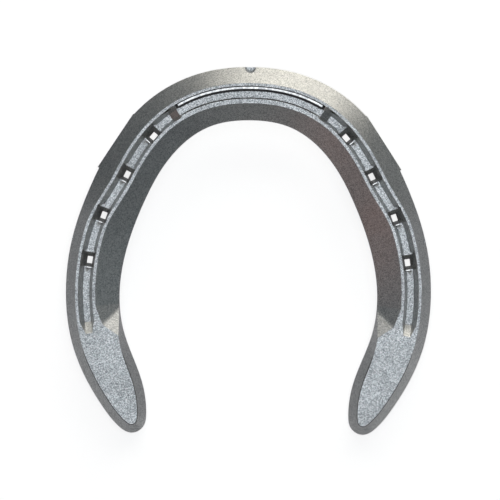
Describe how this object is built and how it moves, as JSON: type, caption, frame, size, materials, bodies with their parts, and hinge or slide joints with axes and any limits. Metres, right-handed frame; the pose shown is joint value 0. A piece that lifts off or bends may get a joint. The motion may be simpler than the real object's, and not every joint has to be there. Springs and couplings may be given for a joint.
{
  "type": "hind horseshoe",
  "caption": "Light alloy hind horseshoe with a nail groove, tapered rectangular nail holes, drawn side clips, a bevelled rim and a steel strip set into the toe.",
  "frame": {"origin": "centre of the outline on the plane that the hoof stands on", "axes": "+Z out of the ground face, away from the hoof; +Y towards the toe; the shoe is the same on both sides of X = 0"},
  "size_m": [0.1322, 0.1328, 0.0215],
  "materials": {
    "shoe_body": "satin grey, as forged, with fine shot-blast speckle on the flats",
    "toe_wear_insert": "bright polished steel"
  },
  "bodies": {
    "root": {"shoe_body": "shoe_body", "toe_wear_insert": "toe_wear_insert"}
  },
  "joints": []
}
